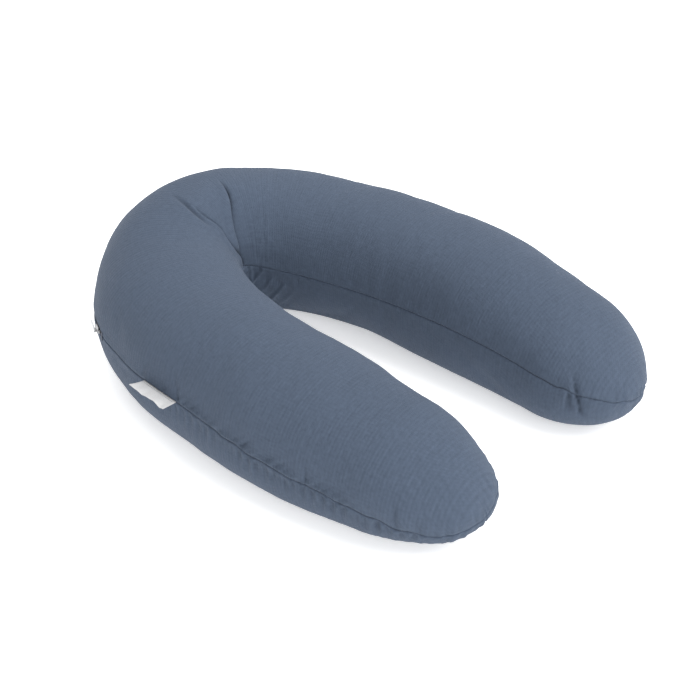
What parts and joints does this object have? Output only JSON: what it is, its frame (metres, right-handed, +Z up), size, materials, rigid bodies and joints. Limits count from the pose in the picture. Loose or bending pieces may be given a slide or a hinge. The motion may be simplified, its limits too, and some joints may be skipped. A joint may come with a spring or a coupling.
{
  "type": "nursing pillow",
  "caption": "U-shaped bead-filled nursing pillow with a crowned zipped jersey cover over a closed inner bag; its two arms bend in and out at the back.",
  "frame": {"origin": "middle of the overall box in plan, on the floor the pillow lies on", "axes": "+Z up; the U opens towards -Y, its back is at +Y; the labelled arm, where the zipper closes, is at -X"},
  "size_m": [0.5582, 0.7102, 0.1976],
  "materials": {
    "cover_cloth": "fine ribbed stretch jersey, matte",
    "cover_thread": "sewing thread, matte",
    "bag_cloth": "plain woven cotton, matte",
    "bag_thread": "sewing thread, matte",
    "beads": "loose polystyrene microbeads",
    "zipper_tape": "woven polyester tape",
    "zipper_coil": "nylon coil",
    "zipper_metal": "bright die-cast metal",
    "label_cloth": "woven satin label, blank"
  },
  "bodies": {
    "back": {"cover_top_panel": "cover_cloth", "cover_bottom_panel": "cover_cloth", "inner_bag_top_panel": "bag_cloth", "inner_bag_bottom_panel": "bag_cloth", "cover_seam_thread": "cover_thread", "inner_bag_seam_thread": "bag_thread", "bead_filling_back": "beads", "zipper_tape_upper": "zipper_tape", "zipper_tape_lower": "zipper_tape", "zipper_coil_upper": "zipper_coil", "zipper_coil_lower": "zipper_coil", "zipper_end_stop_left": "zipper_metal", "zipper_end_stop_right": "zipper_metal", "zipper_bartack_left": "cover_thread", "zipper_bartack_right": "cover_thread"},
    "left_arm": {"bead_filling_left_arm": "beads", "side_label": "label_cloth", "side_label_stitch": "cover_thread"},
    "right_arm": {"bead_filling_right_arm": "beads"},
    "zipper_slider": {"zipper_slider_body": "zipper_metal"},
    "zipper_pull": {"zipper_pull_tab": "zipper_metal"}
  },
  "joints": [
    {"name": "left_arm_bend", "type": "hinge", "parent": "back", "child": "left_arm", "pos_m": [-0.15178, 0.09319, 0.1], "axis": [0, 0, -1], "range_deg": [-9, 45], "deforming": ["cover_top_panel", "cover_bottom_panel", "inner_bag_top_panel", "inner_bag_bottom_panel", "cover_seam_thread", "inner_bag_seam_thread", "side_label", "side_label_stitch"]},
    {"name": "right_arm_bend", "type": "hinge", "parent": "back", "child": "right_arm", "pos_m": [0.15973, 0.09525, 0.1], "axis": [0, 0, 1], "range_deg": [-9, 45], "deforming": ["cover_top_panel", "cover_bottom_panel", "inner_bag_top_panel", "inner_bag_bottom_panel", "cover_seam_thread", "inner_bag_seam_thread"]},
    {"name": "zipper_travel", "type": "hinge", "parent": "back", "child": "zipper_slider", "pos_m": [0.00189, 0.10701, 0.0854], "axis": [0, 0, -1], "range_deg": [0, 126]},
    {"name": "zipper_pull_swing", "type": "hinge", "parent": "zipper_slider", "child": "zipper_pull", "pos_m": [-0.22404, 0.21872, 0.0854], "axis": [0, 0, 1], "range_deg": [0, 160]}
  ]
}
